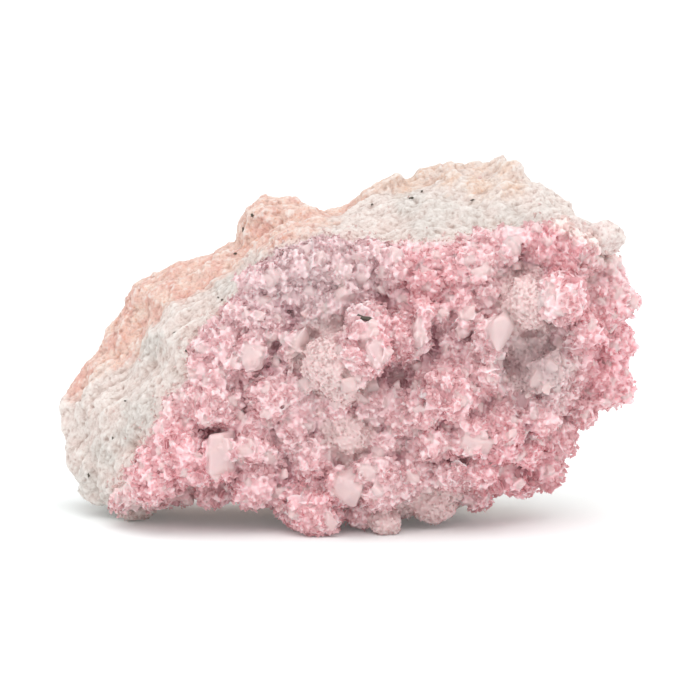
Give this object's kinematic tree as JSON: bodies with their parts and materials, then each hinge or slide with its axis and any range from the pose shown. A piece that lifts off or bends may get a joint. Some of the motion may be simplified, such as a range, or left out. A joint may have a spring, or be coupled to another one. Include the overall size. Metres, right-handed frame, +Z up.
{
  "type": "rhodochrosite specimen",
  "caption": "Loose hand specimen of pink rhodochrosite: a crust of rounded rosettes and pale rhombs on broken grey-white and salmon vein rock, standing on its own feet",
  "frame": {"origin": "middle of the specimen's footprint box, on the surface that it stands on", "axes": "+Z up, the crystal crust faces -Y, +X runs along the length towards the end that the crust wraps round"},
  "size_m": [0.1008, 0.0508, 0.0619],
  "materials": {
    "vein_rock": "rough broken surface, banded grey-white to salmon",
    "rhodochrosite": "translucent vitreous to pearly crystal faces, pale pink"
  },
  "bodies": {
    "root": {"matrix_rock": "vein_rock", "rhodochrosite_crust": "rhodochrosite"}
  },
  "joints": []
}
